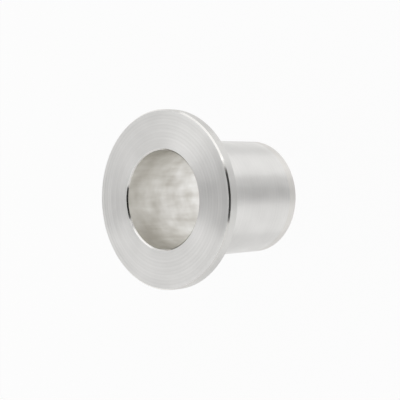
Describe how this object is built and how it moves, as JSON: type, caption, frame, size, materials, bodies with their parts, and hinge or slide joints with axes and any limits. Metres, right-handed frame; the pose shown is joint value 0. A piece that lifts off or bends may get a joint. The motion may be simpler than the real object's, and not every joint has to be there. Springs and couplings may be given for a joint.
{
  "type": "pipe stub end",
  "caption": "One-piece steel stub end: a short pipe with a flat turned lap that carries the gasket face, an open through bore and a bevelled butt-weld end.",
  "frame": {"origin": "centre of the pipe at the plane of the weld end, on which the part stands", "axes": "+Z along the pipe axis, from the weld end to the gasket face; X and Y are free, because the part is turned"},
  "size_m": [0.0636, 0.0636, 0.0508],
  "materials": {
    "stainless_steel": "fine turned, unpolished bore"
  },
  "bodies": {
    "root": {"stub_end": "stainless_steel"}
  },
  "joints": []
}
